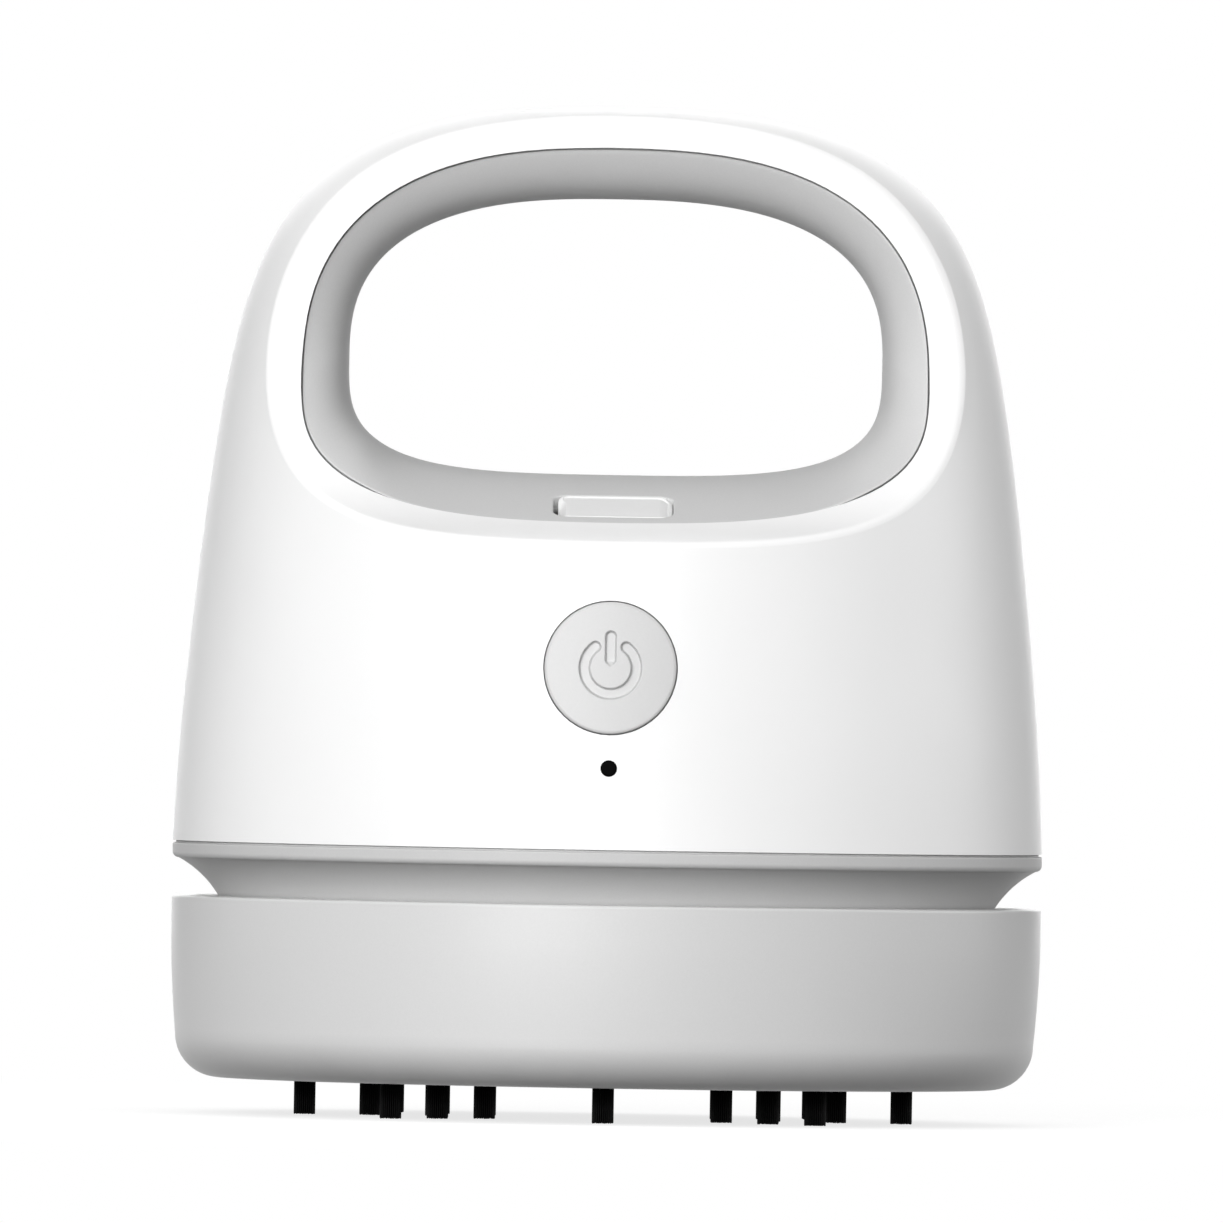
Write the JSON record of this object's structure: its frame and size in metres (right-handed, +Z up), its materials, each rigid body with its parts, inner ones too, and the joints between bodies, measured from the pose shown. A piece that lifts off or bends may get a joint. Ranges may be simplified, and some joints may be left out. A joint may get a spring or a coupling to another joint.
{
  "type": "desktop vacuum cleaner",
  "caption": "Small round desk vacuum with a hollow loop handle, push button, waist groove and a pull-off dust cup with a bristled underside.",
  "frame": {"origin": "middle of the plane that the bristle tips stand on, below the centre of the round body", "axes": "+Z up through the handle, -Y out of the front face with the button, +X to the right of someone facing the front"},
  "size_m": [0.088, 0.088, 0.1023],
  "materials": {
    "white_shell": "smooth satin white",
    "bin_grey": "satin light grey",
    "grey_trim": "fine-grained light grey",
    "button_grey": "satin light grey",
    "cover_grey": "soft light grey silicone",
    "lens_black": "polished black",
    "bristle_black": "nylon bristle",
    "inner_white": "moulded, natural",
    "seal_rubber": "soft black",
    "filter_paper": "pleated filter paper",
    "filter_rim": "moulded dark grey",
    "motor_steel": "plated can",
    "motor_nylon": "black nylon",
    "contact_brass": "stamped terminal",
    "cell_wrap": "shrink sleeve",
    "board_green": "solder mask",
    "switch_black": "moulded black",
    "led_body": "clear epoxy",
    "socket_steel": "drawn steel",
    "screw_steel": "zinc plated",
    "wire_sleeve": "red sleeve"
  },
  "bodies": {
    "housing": {"upper_shell": "white_shell", "front_liner": "grey_trim", "rear_liner": "grey_trim", "indicator_lens": "lens_black", "filter_element": "filter_paper", "charge_socket": "socket_steel", "chassis_ring": "grey_trim", "bin_seal": "seal_rubber", "filter_frame": "filter_rim", "fan_housing": "inner_white", "motor_can": "motor_steel", "motor_end_cap": "motor_nylon", "motor_terminals": "contact_brass", "battery_cell": "cell_wrap", "battery_cradle": "inner_white", "circuit_board": "board_green", "push_switch": "switch_black", "indicator_led": "led_body", "shell_screws": "screw_steel", "fan_screws": "screw_steel", "motor_screws": "screw_steel", "cradle_screws": "screw_steel", "board_screws_lower": "screw_steel", "board_screws_upper": "screw_steel", "liner_screws": "screw_steel", "motor_leads": "wire_sleeve", "battery_leads": "wire_sleeve"},
    "button": {"power_button": "button_grey", "switch_plunger": "switch_black"},
    "rotor": {"impeller": "inner_white", "motor_shaft": "motor_steel"},
    "cup": {"dust_bin": "bin_grey", "bin_collar": "inner_white", "brush_plate": "bin_grey", "inlet_baffle": "inner_white", "bristles_inner": "bristle_black", "bristles_middle": "bristle_black", "bristles_outer": "bristle_black"},
    "cover": {"port_cover": "cover_grey"}
  },
  "joints": [
    {"name": "button_press", "type": "slide", "parent": "housing", "child": "button", "axis": [0, 1, 0], "range_m": [0, 0.0008], "stiffness_N_per_m": 600, "springref_m": -0.001},
    {"name": "rotor_spin", "type": "hinge", "parent": "housing", "child": "rotor", "pos_m": [0, 0, 0.0388], "axis": [0, 0, 1], "continuous": true},
    {"name": "cup_pull", "type": "slide", "parent": "housing", "child": "cup", "axis": [0, 0, -1], "range_m": [0, 0.03]},
    {"name": "cover_swing", "type": "hinge", "parent": "housing", "child": "cover", "pos_m": [0.00598, -0.0275, 0.06197], "axis": [0, 0.9473, 0.3202], "range_deg": [0, 100]}
  ]
}
